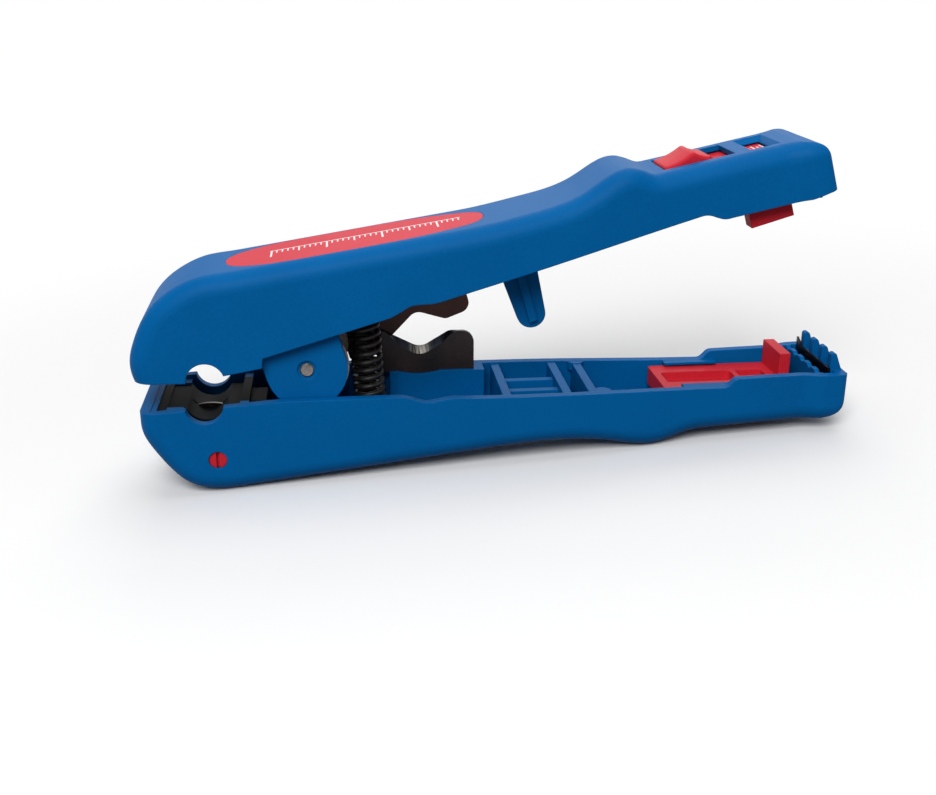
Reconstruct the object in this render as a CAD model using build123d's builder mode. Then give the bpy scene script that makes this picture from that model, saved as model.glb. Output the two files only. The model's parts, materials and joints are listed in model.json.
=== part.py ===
from build123d import *
from math import atan2, cos, degrees, radians, sin, tan
import os

# Hand stripper for data cables: two moulded handles hinged on a pin near the jaw end,
# with a sprung cable jaw at the back, a wire cutter beside the spring and a comb jaw for
# fine wires at the nose. Each handle has its own frame: origin on the pivot axis,
# x along the handle towards the nose, y across, z up. All lengths are in millimetres.

# Stance
opening = 16.6            # angle between the handles at rest, in degrees
middle_ahead = 34.86      # from the pivot forward to the middle of the whole tool

# Both handles
width = 22.0              # over the side walls at the jaw end
waist_width = 18.9        # over the side walls behind the nose
nose_width = 21.2         # over the flared nose
wall = 1.8                # side walls and end walls
skin = 2.0                # top skin and floor
nose_stock = 112.0        # both mouldings are drawn to here before the nose is cut
taper_start = 40.0        # where the side walls begin to draw in
taper_end = 78.0          # where they are narrowest
flare_start = 92.0        # where they flare out again
flare_end = 97.0          # where the flare is full
edge_radius = 3.2         # long outer edges of both handles
nose_radius = 1.2         # edges round the nose faces
nose_crease = 12.0        # turn of the outline where the nose begins, in degrees
gap = 0.3                 # running gap between pieces that move past each other

# Lower handle, heights below the pivot
lower_back = -30.0        # back end
lower_front = 100.9       # nose face
rim = -6.2                # long straight rim
back_rim = -6.8           # rim at the back end
jaw_rim = -5.1            # rim beside the pivot
block_rim = -5.7          # rim in front of the wire dip
lip_rim = -4.5            # raised rim behind the nose
nose_rim = -4.0           # and at the nose
ear_rim_x = -4.4          # where the rim levels out beside the pivot
dip_start = 15.8          # wire dip in the rim
dip_x = 21.2
dip_end = 26.6
dip_depth = 0.9
rise_start = 77.2         # the rim rises to the nose
rise_end = 80.3
belly_x = -14.5           # rounded belly under the jaw
belly_depth = 22.3
belly_radius = 9.0
belly_dip = 0.05          # the belly curve dips this far below that place
heel_height = -9.0        # where the back end starts to round under
heel_x = -28.5
heel_depth = 13.6
belly_back_x = -25.6
belly_back_depth = 17.8
slope = 6.9               # underside from belly to waist, in degrees
slope_end = 33.0
waist_x = 45.2            # underside waist
waist_depth = 15.6
hump_back_x = 56.5
hump_back_depth = 16.5
hump_x = 64.6             # finger hump under the handle
hump_depth = 17.4
hump_front_x = 70.2
hump_front_depth = 15.7
tail_x = 74.5             # straight underside from the hump to the nose
tail_depth = 14.9
chin_x = 96.2
chin_depth = 13.6
chin_height = -9.2        # top of the rounded chin

# Upper handle, heights above the pivot
upper_back = -29.4        # back end
upper_front = 99.8        # nose face
jaw_back = 7.8            # jaw edge at the back end
jaw_mid_x = -20.8
jaw_mid = 5.1
jaw_front = 3.5           # jaw edge beside the ear
ear_front_x = -6.4
edge = 5.15               # long straight lower edge
arch = 0.9                # wire dip in the lower edge
lip_start = 75.2          # the lower edge drops to the nose
lip_end = 80.2
lip_drop = 3.2
lip_low = 2.1
lip_low_x = 95.0
lip_nose = 2.6
crown_x = -12.6           # rounded crown over the jaw
crown = 21.85
crown_front_x = -5.0
crown_front = 20.85
shoulder_x = -27.0
shoulder = 14.4
brow_x = -21.8
brow = 19.4
top_slope_end = 35.0      # top line from crown to waist
top_slope_height = 15.6
saddle_x = 46.4
saddle = 14.75
thumb_rise_x = 57.0
thumb_rise = 15.35
thumb_x = 65.5            # thumb hump
thumb = 16.8
step_x = 67.9
step_height = 15.4
deck_x = 70.2             # flat deck with the slide button
deck = 14.25
deck_end_x = 95.6
deck_end = 12.3
brow_nose = 8.6           # top of the upright nose face

# Cable notches in the jaw edges
notch_x = -17.35
notch_radius = 3.4
notch_height = 4.2        # centre of the upper notch
lower_notch_x = -18.4
lower_notch_depth = 5.5   # centre of the lower notch, below the pivot

# Pivot
pin_radius = 1.25
pin_fit = 0.05            # running clearance of the pin, on the radius
ear_radius = 7.3
ear_thick = 2.0
washer_thick = 0.5
washer_radius = 7.6
lug_radius = 5.0
lug_thick = 2.2
pin_recess = 0.35
pin_recess_radius = 1.75

# Return spring
spring_x = 11.8
spring_radius = 2.55      # to the middle of the wire
wire_radius = 0.5
spring_turns = 16
wire_sides = 8
spring_foot = -14.8       # seat in the lower handle, below the pivot
spring_seat = 8.6         # seat in the upper handle, above the pivot
seat_radius = 4.2
foot_thick = 2.2
seat_thick = 8.4
peg_radius = 1.6
peg_height = 2.5

# Wire cutter
block_near = 5.2          # near face of the blade block
block_start = 15.4
block_end = 33.8
block_top = -5.8
block_dip = 0.55          # shallow dip in its top beside the throat
block_dip_radius = 15.0
blade_near = 5.9          # near face of the lower blade
blade_thick = 0.8
blade_root = -12.5        # foot of the lower blade in its slot
blade_back = 13.9
blade_foot_back = 15.9
blade_end = 31.6
throat_x = 21.6           # bottom of the throat
throat = -0.9
horn = 1.9                # top of the horns beside the throat
upper_throat_x = 21.1
upper_throat = -1.0
upper_horn = -3.9
upper_tail_x = 8.4
upper_tail = -5.4
upper_blade_top = 12.0
rivet_radius = 1.0
rivet_head = 1.7
rivet_head_thick = 0.5
rivet_height = 9.5
rivet_back = 15.5
rivet_front = 27.0
rivet_grip = 2.6          # length of the shank beyond the head
pad_back = 12.0           # pad on the far wall that carries the upper blade
pad_front = 30.5
pad_bottom = 6.6
blade_pin_radius = 0.9
blade_pin_depth = -9.6
blade_pin_back = 18.5
blade_pin_front = 28.5
blade_pin_long = 2.2

# Ribs of the lower handle
rib = 1.6
rib_a = 36.3              # cross ribs, middle planes
rib_b = 47.6
rib_c = 52.5
rib_jaw = -11.5           # its middle part belongs to the black carrier
ledge_front = -22.4       # blue ledges beside the black carrier
ledge_top = -7.0
low_rib_sink = 1.2        # the two lengthwise ribs lie this far below the rim
low_rib_y = 2.9
keel_depth = 11.0         # low lengthwise rib under the sliding stop

# Prong under the upper handle
prong_x = 42.0
prong_root = 14.0         # height of its root under the top skin
prong_root_half = 4.3
prong_tip_radius = 2.7
prong_tip = -8.0
prong_web = 1.8
prong_thick = 3.6         # over the rib down its middle
prong_rib = 1.5

# Sliding lock in the lower handle
lock_back = 66.8
lock_front = 92.4
lock_top = -7.0
lock_thick = 3.4
lock_half = 7.1
lock_corner = 0.6
lock_travel = 6.0
tab_thick = 2.1
tab_rise = 4.8
tab_radius = 1.2
tab_near = -2.4
tab_far = 7.0
pocket_depth = 1.6
pocket_half = 2.8
pocket_radius = 0.8
pocket_starts = (68.3, 83.3)
pocket_ends = (82.2, 88.6)
stem_back = 82.0          # thumb stem that passes through the floor of the handle
stem_front = 89.0
stem_half = 3.0
stem_depth = 15.0         # its thumb face stands this far below the pivot
retain_start = 70.0       # lips that hold the lock down
retain_end = 80.5
retain_reach = 1.1
retain_thick = 0.5

# Comb jaw at the nose
comb_x = 96.15
comb_thick = 0.9
comb_drop = 0.1           # its top lies this far below the rim
scallops = 5
scallop_radius = 1.3
finger_pitch = 4.5
finger_wide = 1.5
finger_rise = 3.3
finger_back = 98.35
finger_top = 99.3         # the fingers slope down to the nose face from here
finger_nose = 0.3         # and start this far inside it
finger_radius = 0.5
wire_blade_x = 97.9
wire_blade_thick = 0.4
wire_blade_rise = 0.6
wire_blade_tip = 1.2      # pointed far end, above the rest of its edge
wire_blade_sink = 4.5
upper_wire_blade_x = 97.25
upper_wire_blade_drop = 1.2
upper_wire_blade_sink = 5.0
upper_holder = 1.2

# Length stop in the upper handle
button_start = 1.6        # these lengths are measured along the deck from its back end
button_end = 10.6
button_half = 4.4
button_edge = 0.25        # height of its two ends above the deck
button_peak = 7.2
button_rise = 1.85
button_sag = 0.35         # its two faces are hollow by this much
slot_end = 14.4
slot_half = 4.9
window_start = 18.4
window_end = 21.5
window_half = 4.0
window_flare = 1.2        # the window is wider by this much all round at the deck
deck_skin = 1.0           # deck left over the slider's channel
channel_start = 0.9
channel_end = 25.2
channel_half = 6.4
stop_back = 1.4           # back end of the stop's plate
stop_front = 21.9
stop_half = 6.1
stop_plate = 1.3
rail_start = 2.0
rail_end = 11.0
rail_reach = 1.2
rail_thick = 1.0
stop_travel = 2.8
fin_start = 84.4          # along the handle, ahead of the pivot
fin_end = 92.4
fin_near = -6.2
fin_thick = 3.2
fin_bottom = -0.8

# Oval plate on top
plate_back = -8.0
plate_back_x = -3.5       # places where its half width is set
plate_back_half = 6.2
plate_broad_x = 12.0
plate_broad = 7.9
plate_front_x = 33.0
plate_front_half = 5.9
plate_front = 38.6
plate_thick = 0.8
plate_fit = 0.05

# Jacket cutter in the jaw
carrier_back = -25.4
carrier_front = -10.7
carrier_half = 6.5
carrier_top = -7.4
flange_back = -27.0       # cross flange at its back end
tongue_front = -7.8       # low tongue that reaches towards the pivot
tongue_half = 3.6
tongue_top = -7.4
trough_radius = 4.0
trough_bottom = -9.6
jacket_blade_thick = 0.6
jacket_blade_half = 3.2
jacket_blade_edge = 0.9   # the edge stands this far above the trough
jacket_blade_corner = 0.5
jacket_blade_foot = -13.4
blade_screw_x = -18.4
blade_screw_depth = -11.6
blade_screw_radius = 0.8
blade_screw_head = 1.5
blade_screw_head_thick = 1.0
blade_screw_long = 6.0
adjuster_x = -16.6
adjuster_depth = -15.9
adjuster_radius = 1.6
adjuster_fit = 0.06
adjuster_sink = 0.3       # its end lies this far below the side face
adjuster_slot = 0.6
adjuster_slot_depth = 0.7
rest_back = -25.6
rest_front = -11.0
rest_half = 6.0
rest_bottom = 6.2
rest_trough = 3.7

half = width / 2
inner = half - wall
plan_depth = 30.0         # plan views are drawn this far below the pivot
above = 2.0               # hollows are cut past the open side by this much

# Lean of the lower handle so that belly and hump both touch the ground
lean = degrees(atan2(belly_depth - hump_depth, hump_x - belly_x))
pivot_z = belly_depth * cos(radians(lean)) + belly_x * sin(radians(lean)) + belly_dip
lower = Location((-middle_ahead, 0, pivot_z), (0, lean, 0))
upper = Location((-middle_ahead, 0, pivot_z), (0, lean - opening, 0))

# The stop slides along the deck, which falls a little towards the nose
deck_fall = degrees(atan2(deck - deck_end, deck_end_x - deck_x))
on_deck = upper * Location((deck_x, 0, deck), (0, deck_fall, 0))


def side(handle, y=0.0):
    """Plane of a side view, seen from the near side, at the given place across the tool."""
    return Plane(handle * Plane.XZ.offset(-y).location)


def level(handle, height=0.0):
    """Plane of a plan view at the given height above the pivot."""
    return Plane(handle * Plane.XY.offset(height).location)


def across(handle, x=0.0):
    """Plane of a cross-section at the given distance ahead of the pivot."""
    return Plane(handle * Plane.YZ.offset(x).location)


def local(handle, edge):
    """Middle of an edge in the handle's own frame."""
    return level(handle).to_local_coords(edge.position_at(0.5))


def heading(run, rise, turn=0.0):
    """Direction of a line with the given run and rise, turned by some degrees."""
    angle = atan2(rise, run) + radians(turn)
    return (cos(angle), sin(angle))


def lower_shape(inset=0.0, top=None):
    """Side view of the lower handle, drawn in by inset, with its rim or up to a flat top."""
    start = (belly_x + belly_radius * sin(radians(slope)),
             -belly_depth + belly_radius * (1 - cos(radians(slope))) + inset)
    run = slope_end - start[0]
    slope_foot = (slope_end, start[1] + run * tan(radians(slope)))
    rise = (1, tan(radians(slope)))
    back = lower_back + inset
    front = lower_front - inset
    chin = heading(chin_x - tail_x, tail_depth - chin_depth, nose_crease)
    with BuildSketch(side(lower)) as shape:
        with BuildLine():
            Spline(
                (back, heel_height),
                (heel_x + inset, -heel_depth + inset / 2),
                (belly_back_x + inset / 2, -belly_back_depth + inset),
                start,
                tangents=[(0, -1), rise],
            )
            Line(start, slope_foot)
            Spline(
                slope_foot,
                (waist_x, -waist_depth + inset),
                (hump_back_x, -hump_back_depth + inset),
                (hump_x, -hump_depth + inset),
                (hump_front_x, -hump_front_depth + inset),
                (tail_x, -tail_depth + inset),
                tangents=[rise, (chin_x - tail_x, tail_depth - chin_depth)],
            )
            Line((tail_x, -tail_depth + inset), (chin_x, -chin_depth + inset))
            Spline(
                (chin_x, -chin_depth + inset),
                (front, chin_height),
                tangents=[chin, (0, 1)],
            )
            if top is None:
                Line((front, chin_height), (front, nose_rim))
                Line((front, nose_rim), (rise_end, lip_rim))
                Spline((rise_end, lip_rim), (rise_start, rim), tangents=[(-1, 0), (-1, 0)])
                Line((rise_start, rim), (dip_end + 6, block_rim - 0.2))
                Line((dip_end + 6, block_rim - 0.2), (dip_end, block_rim))
                Spline(
                    (dip_end, block_rim),
                    (dip_x, rim - dip_depth / 6),
                    (dip_start, jaw_rim),
                    tangents=[(-1, 0), (-1, 0)],
                )
                Line((dip_start, jaw_rim), (ear_rim_x, jaw_rim))
                Line((ear_rim_x, jaw_rim), (back, back_rim))
                Line((back, back_rim), (back, heel_height))
            else:
                Polyline((front, chin_height), (front, top), (back, top), (back, heel_height))
        make_face()
    return shape.sketch


def upper_shape(inset=0.0, bottom=None):
    """Side view of the upper handle, drawn in by inset, with its edge or down to a flat bottom."""
    back = upper_back + inset
    front = upper_front - inset
    top_run = (top_slope_end - crown_front_x, top_slope_height - crown_front)
    deck_run = (deck_end_x - deck_x, deck_end - deck)
    brow_run = heading(*deck_run, -nose_crease)
    with BuildSketch(side(upper)) as shape:
        with BuildLine():
            Spline(
                (back, jaw_back + 0.5),
                (shoulder_x + inset, shoulder - inset / 2),
                (brow_x + inset / 2, brow - inset),
                (crown_x, crown - inset),
                (crown_front_x, crown_front - inset),
                tangents=[(0, 1), top_run],
            )
            Line((crown_front_x, crown_front - inset), (top_slope_end, top_slope_height - inset))
            Spline(
                (top_slope_end, top_slope_height - inset),
                (saddle_x, saddle - inset),
                (thumb_rise_x, thumb_rise - inset),
                (thumb_x, thumb - inset),
                (step_x, step_height - inset),
                (deck_x, deck - inset),
                tangents=[top_run, deck_run],
            )
            Line((deck_x, deck - inset), (deck_end_x, deck_end - inset))
            Spline(
                (deck_end_x, deck_end - inset),
                (front, brow_nose),
                tangents=[brow_run, (0, -1)],
            )
            if bottom is None:
                Line((front, brow_nose), (front, lip_nose))
                Line((front, lip_nose), (lip_low_x, lip_low))
                Line((lip_low_x, lip_low), (lip_end, lip_drop))
                Spline((lip_end, lip_drop), (lip_start, edge), tangents=[(-1, 0), (-1, 0)])
                Line((lip_start, edge), (dip_end, edge))
                Spline(
                    (dip_end, edge),
                    (dip_x + 0.4, edge + arch),
                    (dip_start + 0.6, edge),
                    tangents=[(-1, 0), (-1, 0)],
                )
                Line((dip_start + 0.6, edge), (ear_front_x, edge))
                Line((ear_front_x, edge), (ear_front_x - 0.7, jaw_front))
                Line((ear_front_x - 0.7, jaw_front), (jaw_mid_x, jaw_mid))
                Line((jaw_mid_x, jaw_mid), (back, jaw_back))
                Line((back, jaw_back), (back, jaw_back + 0.5))
            else:
                Polyline((front, brow_nose), (front, bottom), (back, bottom), (back, jaw_back + 0.5))
        make_face()
    return shape.sketch


def plan_shape(handle, back, front, inset=0.0):
    """Plan view of a handle from its back end to its front, drawn in by inset."""
    with BuildSketch(level(handle, -plan_depth)) as shape:
        with BuildLine():
            Line((back + inset, 0), (back + inset, half - inset))
            Line((back + inset, half - inset), (taper_start, half - inset))
            Spline(
                (taper_start, half - inset),
                (taper_end, waist_width / 2 - inset),
                tangents=[(1, 0), (1, 0)],
            )
            Line((taper_end, waist_width / 2 - inset), (flare_start, waist_width / 2 - inset))
            Spline(
                (flare_start, waist_width / 2 - inset),
                (flare_end, nose_width / 2 - inset),
                tangents=[(1, 0), (1, 0)],
            )
            Line((flare_end, nose_width / 2 - inset), (front - inset, nose_width / 2 - inset))
            Line((front - inset, nose_width / 2 - inset), (front - inset, 0))
            Line((front - inset, 0), (back + inset, 0))
        make_face()
        mirror(about=Plane.XZ)
    return shape.sketch


def slab(handle, x0, x1, y0, y1, z0, z1, mode=Mode.ADD):
    """A straight-sided block between the given limits in the handle's own frame."""
    with BuildSketch(level(handle, z0)) as foot:
        with Locations(((x0 + x1) / 2, (y0 + y1) / 2)):
            Rectangle(x1 - x0, y1 - y0)
    extrude(foot.sketch, amount=z1 - z0, mode=mode)


def rod(handle, x, z, radius, y0, y1, mode=Mode.ADD):
    """A round bar across the tool, from y0 to y1."""
    with BuildSketch(side(handle, y1)) as end:
        with Locations((x, z)):
            Circle(radius)
    extrude(end.sketch, amount=y1 - y0, mode=mode)


def outer_edges(handle, solid, start, end, reach):
    """Outer edges of a handle between two places along it, on its closed side."""
    return [
        line for line in solid.edges()
        if start < local(handle, line).X < end
        and abs(local(handle, line).Y) > waist_width / 2 - 0.5
        and reach(local(handle, line).Z)
    ]


# Hollow of the lower handle, with the ribs and the blade block left standing
with BuildPart() as lower_hollow:
    extrude(lower_shape(inset=skin, top=above), amount=half, both=True)
    extrude(plan_shape(lower, lower_back, lower_front, wall), amount=2 * plan_depth,
            mode=Mode.INTERSECT)
    for rib_x in (rib_a, rib_b, rib_c):
        slab(lower, rib_x - rib / 2, rib_x + rib / 2, -half, half, -plan_depth, rim, Mode.SUBTRACT)
    for rib_y in (-low_rib_y, low_rib_y):
        slab(lower, rib_a, rib_b, rib_y - rib / 2, rib_y + rib / 2, -plan_depth,
             rim - low_rib_sink, Mode.SUBTRACT)
    slab(lower, rib_c, comb_x, -rib / 2, rib / 2, -plan_depth, -keel_depth, Mode.SUBTRACT)
    slab(lower, block_start, block_end, block_near, half, -plan_depth, block_top, Mode.SUBTRACT)
    rod(lower, dip_x, block_top - block_dip + block_dip_radius, block_dip_radius, block_near,
        inner)
    slab(lower, comb_x - comb_thick / 2, comb_x + comb_thick / 2, -half, half, -plan_depth,
         nose_rim - comb_drop, Mode.SUBTRACT)
    slab(lower, lower_back, flange_back, -half, half, -plan_depth, back_rim, Mode.SUBTRACT)
    for near_face, far_face in ((-half, -carrier_half), (carrier_half, half)):
        slab(lower, carrier_back, ledge_front, near_face, far_face, -plan_depth, ledge_top,
             Mode.SUBTRACT)
        slab(lower, rib_jaw - rib / 2, rib_jaw + rib / 2, near_face, far_face, -plan_depth, rim,
             Mode.SUBTRACT)

# Lower cutter blade: stamped plate with a V throat, its foot in a slot of the block
with BuildPart() as lower_cutter_blade:
    with BuildSketch(side(lower, blade_near + blade_thick)):
        with BuildLine():
            Polyline(
                (blade_back, horn + 0.3),
                (blade_back, rim + 0.4),
                (blade_foot_back, rim),
                (blade_foot_back, blade_root),
                (blade_end, blade_root),
                (blade_end, horn - 1.8),
            )
            RadiusArc((blade_end, horn - 1.8), (blade_end - 1.9, horn), 2.0)
            Line((blade_end - 1.9, horn), (blade_end - 4.2, horn - 0.1))
            Spline(
                (blade_end - 4.2, horn - 0.1),
                (throat_x + 2.4, throat + 1.4),
                (throat_x, throat),
                (throat_x - 2.6, throat + 1.2),
                (blade_back, horn + 0.3),
                tangents=[(-1, -0.1), (-1, 0.45)],
            )
        make_face()
    extrude(amount=blade_thick)
    for pin_x in (blade_pin_back, blade_pin_front):
        rod(lower, pin_x, blade_pin_depth, blade_pin_radius, -half, half, Mode.SUBTRACT)
lower_cutter_blade.part.label = "lower_cutter_blade"

# Locating pins that hold the foot of the lower blade in the block
with BuildPart() as lower_blade_pins:
    for pin_x in (blade_pin_back, blade_pin_front):
        rod(lower, pin_x, blade_pin_depth, blade_pin_radius, blade_near, blade_near + blade_pin_long)
lower_blade_pins.part.label = "lower_blade_pins"

# Upper cutter blade: passes close behind the lower one, riveted to a pad on the far wall
upper_blade_near = blade_near + blade_thick + gap
with BuildPart() as upper_cutter_blade:
    with BuildSketch(side(upper, upper_blade_near + blade_thick)):
        with BuildLine():
            Polyline(
                (blade_end, upper_horn + 3.0),
                (blade_end, upper_blade_top),
                (upper_tail_x, upper_blade_top),
                (upper_tail_x, upper_tail),
                (upper_tail_x + 4.2, upper_tail),
                (upper_tail_x + 5.4, upper_horn + 0.8),
                (upper_throat_x - 4.7, upper_horn + 0.9),
            )
            Spline(
                (upper_throat_x - 4.7, upper_horn + 0.9),
                (upper_throat_x - 1.0, upper_throat - 0.15),
                (upper_throat_x, upper_throat),
                (upper_throat_x + 1.6, upper_throat - 0.5),
                (upper_throat_x + 6.0, upper_horn),
                tangents=[(1, 0.6), (1, -0.1)],
            )
            Line((upper_throat_x + 6.0, upper_horn), (blade_end - 2.2, upper_horn + 0.15))
            Spline(
                (blade_end - 2.2, upper_horn + 0.15),
                (blade_end, upper_horn + 3.0),
                tangents=[(1, 0.06), (0, 1)],
            )
        make_face()
    extrude(amount=blade_thick)
    for rivet_x in (rivet_back, rivet_front):
        rod(upper, rivet_x, rivet_height, rivet_radius, -half, half, Mode.SUBTRACT)
upper_cutter_blade.part.label = "upper_cutter_blade"

# Rivets of the upper blade
with BuildPart() as upper_blade_rivets:
    for rivet_x in (rivet_back, rivet_front):
        rod(upper, rivet_x, rivet_height, rivet_head, upper_blade_near - rivet_head_thick,
            upper_blade_near)
        rod(upper, rivet_x, rivet_height, rivet_radius, upper_blade_near,
            upper_blade_near + rivet_grip)
upper_blade_rivets.part.label = "upper_blade_rivets"

# Pivot stack, from the near wall inwards: running gap, ear, running gap, washer, lug
ear_outer = inner - gap
ear_inner = ear_outer - ear_thick
washer_outer = ear_inner - gap
washer_inner = washer_outer - washer_thick
lug_inner = washer_inner - lug_thick

with BuildPart() as pivot_pin:
    rod(upper, 0, 0, pin_radius, -ear_outer, ear_outer)
    chamfer(pivot_pin.edges().filter_by(GeomType.CIRCLE), 0.2)
pivot_pin.part.label = "pivot_pin"

with BuildPart() as pivot_washers:
    for outer_face, inner_face in ((-washer_outer, -washer_inner), (washer_inner, washer_outer)):
        rod(lower, 0, 0, washer_radius, outer_face, inner_face)
    rod(lower, 0, 0, pin_radius + pin_fit, -half, half, Mode.SUBTRACT)
pivot_washers.part.label = "pivot_washers"

# Return spring, upright between a foot in the lower handle and a seat in the upper one
foot = (lower * Location((spring_x, 0, spring_foot))).position
reach = foot.X + middle_ahead
tilt = radians(opening - lean)
seat_z = pivot_z + (reach * sin(tilt) + spring_seat) / cos(tilt)
foot_plane = Plane.XY.offset(foot.Z)
seat_plane = Plane.XY.offset(seat_z)
spring_length = seat_z - foot.Z
coil_length = spring_length - 2 * wire_radius
with BuildPart() as handle_spring:
    with BuildLine(foot_plane.offset(wire_radius)) as coil:
        Helix(coil_length / spring_turns, coil_length, spring_radius, center=(foot.X, 0, 0))
    with BuildSketch(coil.line ^ 0) as wire:
        RegularPolygon(wire_radius, wire_sides)
    sweep(wire.sketch, path=coil.line, is_frenet=True)
handle_spring.part.label = "handle_spring"

# Sliding lock: a shallow tray with a tab at its front and a thumb stem through the floor
lock_bottom = lock_top - lock_thick
with BuildPart() as sliding_lock:
    slab(lower, lock_back, lock_front, -lock_half, lock_half, lock_bottom, lock_top)
    chamfer(sliding_lock.edges().filter_by(lambda e: abs(e.length - lock_thick) < 0.1), lock_corner)
    for start, end in zip(pocket_starts, pocket_ends):
        with BuildSketch(level(lower, lock_top - pocket_depth)) as pocket:
            with Locations(((start + end) / 2, 0)):
                RectangleRounded(end - start, 2 * pocket_half, pocket_radius)
        extrude(pocket.sketch, amount=pocket_depth, mode=Mode.SUBTRACT)
    with BuildSketch(across(lower, lock_front - tab_thick)) as tab:
        with Locations(((tab_near + tab_far) / 2, lock_top + tab_rise / 2)):
            RectangleRounded(tab_far - tab_near, tab_rise, tab_radius)
        with Locations(((tab_near + tab_far) / 2, lock_top + tab_radius / 2)):
            Rectangle(tab_far - tab_near, tab_radius)
    extrude(tab.sketch, amount=tab_thick)
    slab(lower, stem_back, stem_front, -stem_half, stem_half, -stem_depth, lock_bottom)
sliding_lock.part.label = "sliding_lock"

# Blades of the comb jaw: the upper one passes just behind the lower one
lower_blade_top = nose_rim + wire_blade_rise
blade_half = inner - 1.0
with BuildPart() as lower_wire_blade:
    with BuildSketch(across(lower, wire_blade_x - wire_blade_thick / 2)):
        with BuildLine():
            Polyline(
                (-blade_half, nose_rim - wire_blade_sink),
                (-blade_half, lower_blade_top),
                (blade_half - 2 * wire_blade_tip, lower_blade_top),
                (blade_half, lower_blade_top + wire_blade_tip),
                (blade_half, nose_rim - wire_blade_sink),
                close=True,
            )
        make_face()
    extrude(amount=wire_blade_thick)
lower_wire_blade.part.label = "lower_wire_blade"

with BuildPart() as upper_wire_blade:
    slab(upper, upper_wire_blade_x - wire_blade_thick / 2, upper_wire_blade_x + wire_blade_thick / 2,
         -blade_half, blade_half, lip_nose - upper_wire_blade_drop, lip_nose + upper_wire_blade_sink)
upper_wire_blade.part.label = "upper_wire_blade"

# Length stop: thumb button in the deck, plate with the scale under it, fin towards the nose
plate_top = -deck_skin - gap
with BuildPart() as length_stop:
    slab(on_deck, stop_back, stop_front, -stop_half, stop_half, plate_top - stop_plate, plate_top)
    with BuildSketch(side(on_deck)) as button:
        with BuildLine():
            Polyline((button_start, button_edge), (button_start, plate_top),
                     (button_end, plate_top), (button_end, button_edge))
            SagittaArc((button_end, button_edge), (button_peak, button_rise), button_sag)
            SagittaArc((button_peak, button_rise), (button_start, button_edge), button_sag)
        make_face()
    extrude(button.sketch, amount=button_half, both=True)
    slab(upper, fin_start, fin_end, fin_near, fin_near + fin_thick, fin_bottom,
         deck_end + plate_top - stop_plate / 2)
length_stop.part.label = "length_stop"

# Oval plate let into the top of the upper handle, flush with it


def oval(fit=0.0):
    """Egg-shaped outline, drawn on the upper handle's level plane."""
    with BuildSketch(level(upper)) as shape:
        with BuildLine():
            Spline(
                (plate_back - fit, 0),
                (plate_back_x, plate_back_half + fit),
                (plate_broad_x, plate_broad + fit),
                tangents=[(0, 1), (1, 0)],
            )
            Spline(
                (plate_broad_x, plate_broad + fit),
                (plate_front_x, plate_front_half + fit),
                (plate_front + fit, 0),
                tangents=[(1, 0), (0, -1)],
            )
            Line((plate_front + fit, 0), (plate_back - fit, 0))
        make_face()
        mirror(about=Plane.XZ)
    return shape.sketch


with BuildPart() as label_plate:
    extrude(upper_shape(), amount=half, both=True)
    extrude(upper_shape(inset=plate_thick), amount=half, both=True, mode=Mode.SUBTRACT)
    extrude(oval(), amount=plan_depth, mode=Mode.INTERSECT)
label_plate.part.label = "label_plate"

with BuildPart() as plate_recess:
    extrude(upper_shape(), amount=half, both=True)
    extrude(upper_shape(inset=plate_thick), amount=half, both=True, mode=Mode.SUBTRACT)
    extrude(oval(plate_fit), amount=plan_depth, mode=Mode.INTERSECT)

# Jacket cutter: black carrier on the floor of the jaw, its blade upright across the cable
with BuildPart() as blade_carrier:
    slab(lower, carrier_back, carrier_front, -carrier_half, carrier_half, -plan_depth, carrier_top)
    slab(lower, rib_jaw - rib / 2, rib_jaw + rib / 2, -carrier_half, carrier_half, -plan_depth, rim)
    slab(lower, flange_back, carrier_back, -inner, inner, -plan_depth, ledge_top)
    slab(lower, carrier_front, tongue_front, -tongue_half, tongue_half, -plan_depth, tongue_top)
    extrude(lower_shape(inset=skin, top=above), amount=half, both=True, mode=Mode.INTERSECT)
    rod(lower, lower_notch_x, trough_bottom + trough_radius, trough_radius, -half, half,
        Mode.SUBTRACT)
    slab(lower, lower_notch_x - jacket_blade_half, lower_notch_x + jacket_blade_half,
         -jacket_blade_thick / 2, jacket_blade_thick / 2, jacket_blade_foot, above, Mode.SUBTRACT)
    rod(lower, blade_screw_x, blade_screw_depth, blade_screw_radius, -half,
        -carrier_half + blade_screw_long, Mode.SUBTRACT)
    rod(lower, adjuster_x, adjuster_depth, adjuster_radius + adjuster_fit, -half, half,
        Mode.SUBTRACT)
blade_carrier.part.label = "blade_carrier"

edge_height = trough_bottom + jacket_blade_edge
with BuildPart() as jacket_blade:
    with BuildSketch(side(lower, jacket_blade_thick / 2)):
        with BuildLine():
            Polyline(
                (lower_notch_x - jacket_blade_half, edge_height - jacket_blade_corner),
                (lower_notch_x - jacket_blade_half, jacket_blade_foot),
                (lower_notch_x + jacket_blade_half, jacket_blade_foot),
                (lower_notch_x + jacket_blade_half, edge_height - jacket_blade_corner),
            )
            ThreePointArc(
                (lower_notch_x + jacket_blade_half, edge_height - jacket_blade_corner),
                (lower_notch_x, edge_height),
                (lower_notch_x - jacket_blade_half, edge_height - jacket_blade_corner),
            )
        make_face()
    extrude(amount=jacket_blade_thick)
    rod(lower, blade_screw_x, blade_screw_depth, blade_screw_radius, -half, half, Mode.SUBTRACT)
jacket_blade.part.label = "jacket_blade"

with BuildPart() as jacket_blade_screw:
    rod(lower, blade_screw_x, blade_screw_depth, blade_screw_radius, -carrier_half,
        -carrier_half + blade_screw_long)
    rod(lower, blade_screw_x, blade_screw_depth, blade_screw_head,
        -carrier_half - blade_screw_head_thick, -carrier_half)
jacket_blade_screw.part.label = "jacket_blade_screw"

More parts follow.
